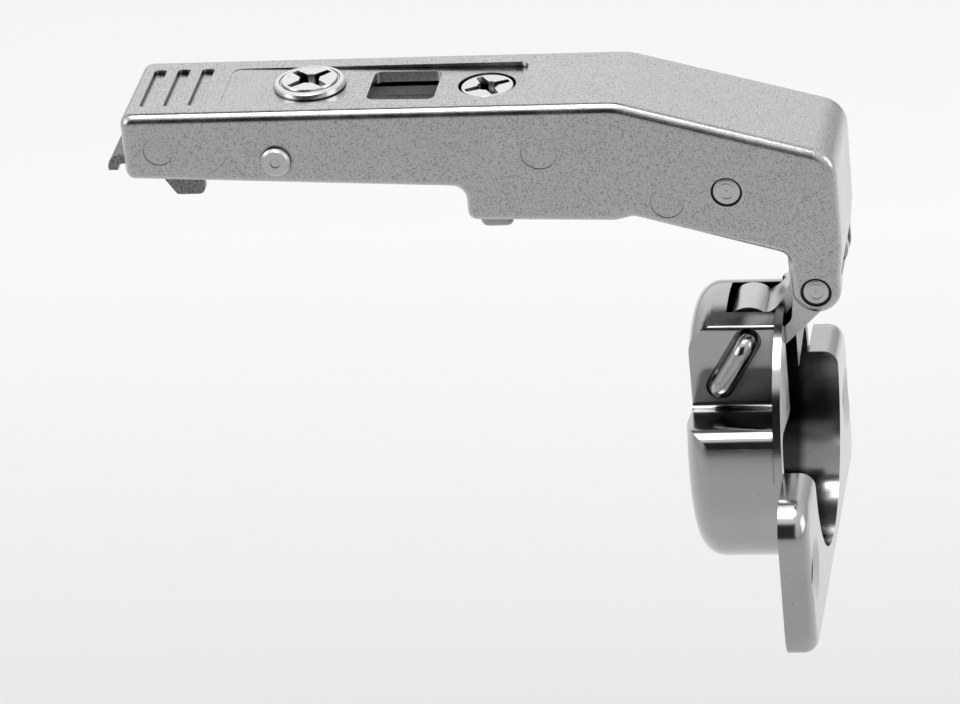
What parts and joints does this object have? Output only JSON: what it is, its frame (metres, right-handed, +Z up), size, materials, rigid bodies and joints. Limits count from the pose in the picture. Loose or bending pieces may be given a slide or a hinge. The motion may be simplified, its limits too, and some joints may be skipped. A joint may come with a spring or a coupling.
{
  "type": "cranked cabinet hinge",
  "caption": "Cabinet hinge with a cranked cast arm, a drawn cup with ears, two levers between them, adjusting screws and a latch that clips to a mounting plate.",
  "frame": {"origin": "midway between the two cup screws, on the plane where the flange meets the door", "axes": "+X out of the door and along the arm to its front end, +Y across the hinge, +Z up to the arm's flat top"},
  "size_m": [0.0917, 0.055, 0.0689],
  "materials": {
    "plated_casting": "nickel-plated zinc casting, satin with a fine grain",
    "polished_cup": "bright nickel plating on drawn steel",
    "lever_steel": "satin nickel-plated steel",
    "steel_pin": "turned plated steel",
    "bright_screw": "bright plated screw steel",
    "carrier_steel": "plain pressed steel",
    "latch_steel": "dark phosphated steel",
    "spring_steel": "blued spring steel",
    "bush_plastic": "plain bearing plastic"
  },
  "bodies": {
    "carrier": {"carrier": "carrier_steel", "latch_pin": "steel_pin"},
    "latch": {"latch": "latch_steel", "latch_spring": "spring_steel"},
    "slide": {"slide_pins": "steel_pin"},
    "arm": {"arm_body": "plated_casting", "upper_lever_pin": "steel_pin", "lower_lever_pin": "steel_pin", "lever_sleeves": "steel_pin", "lever_bushes": "bush_plastic", "depth_screw_ring": "steel_pin"},
    "depth_screw": {"depth_screw": "bright_screw"},
    "side_screw": {"side_screw": "bright_screw"},
    "outer_lever": {"outer_lever": "lever_steel"},
    "cup": {"cup_shell": "polished_cup", "axle_wire": "polished_cup"},
    "inner_lever": {"inner_lever": "lever_steel"}
  },
  "joints": [
    {"name": "latch_press", "type": "hinge", "parent": "carrier", "child": "latch", "pos_m": [-0.0696, 0, 0.051], "axis": [0, 1, 0], "range_deg": [0, 8], "stiffness_Nm_per_rad": 0.05, "springref_deg": -8.59},
    {"name": "depth_slide", "type": "slide", "parent": "carrier", "child": "slide", "axis": [1, 0, 0], "range_m": [-0.0017, 0.0017]},
    {"name": "side_tilt", "type": "hinge", "parent": "slide", "child": "arm", "pos_m": [-0.0612, 0, 0.0508], "axis": [0, -1, 0], "range_deg": [-1.2, 1.2]},
    {"name": "depth_turn", "type": "hinge", "parent": "arm", "child": "depth_screw", "pos_m": [-0.0577, 0, 0.0554], "axis": [0, 0, 1], "range_deg": [-60.5, 60.5]},
    {"name": "side_turn", "type": "hinge", "parent": "arm", "child": "side_screw", "pos_m": [-0.0354, 0, 0.0554], "axis": [0, 0, 1], "range_deg": [-181, 181]},
    {"name": "outer_swing", "type": "hinge", "parent": "arm", "child": "outer_lever", "pos_m": [0.00462, 0, 0.03116], "axis": [0, -1, 0], "range_deg": [-17.2, 0]},
    {"name": "cup_swing", "type": "hinge", "parent": "outer_lever", "child": "cup", "pos_m": [-0.00848, 0, 0.0175], "axis": [0, -1, 0], "range_deg": [0, 107.14]},
    {"name": "inner_swing", "type": "hinge", "parent": "cup", "child": "inner_lever", "pos_m": [-0.0046, 0, 0.0238], "axis": [0, -1, 0], "range_deg": [-129.2, 0]}
  ],
  "couplings": [
    {"joint": "outer_swing", "follows": "cup_swing", "ratio": -0.16},
    {"joint": "inner_swing", "follows": "cup_swing", "ratio": -1.205},
    {"joint": "depth_turn", "follows": "depth_slide", "rad_per_m": 616},
    {"joint": "side_turn", "follows": "side_tilt", "ratio": 150}
  ]
}
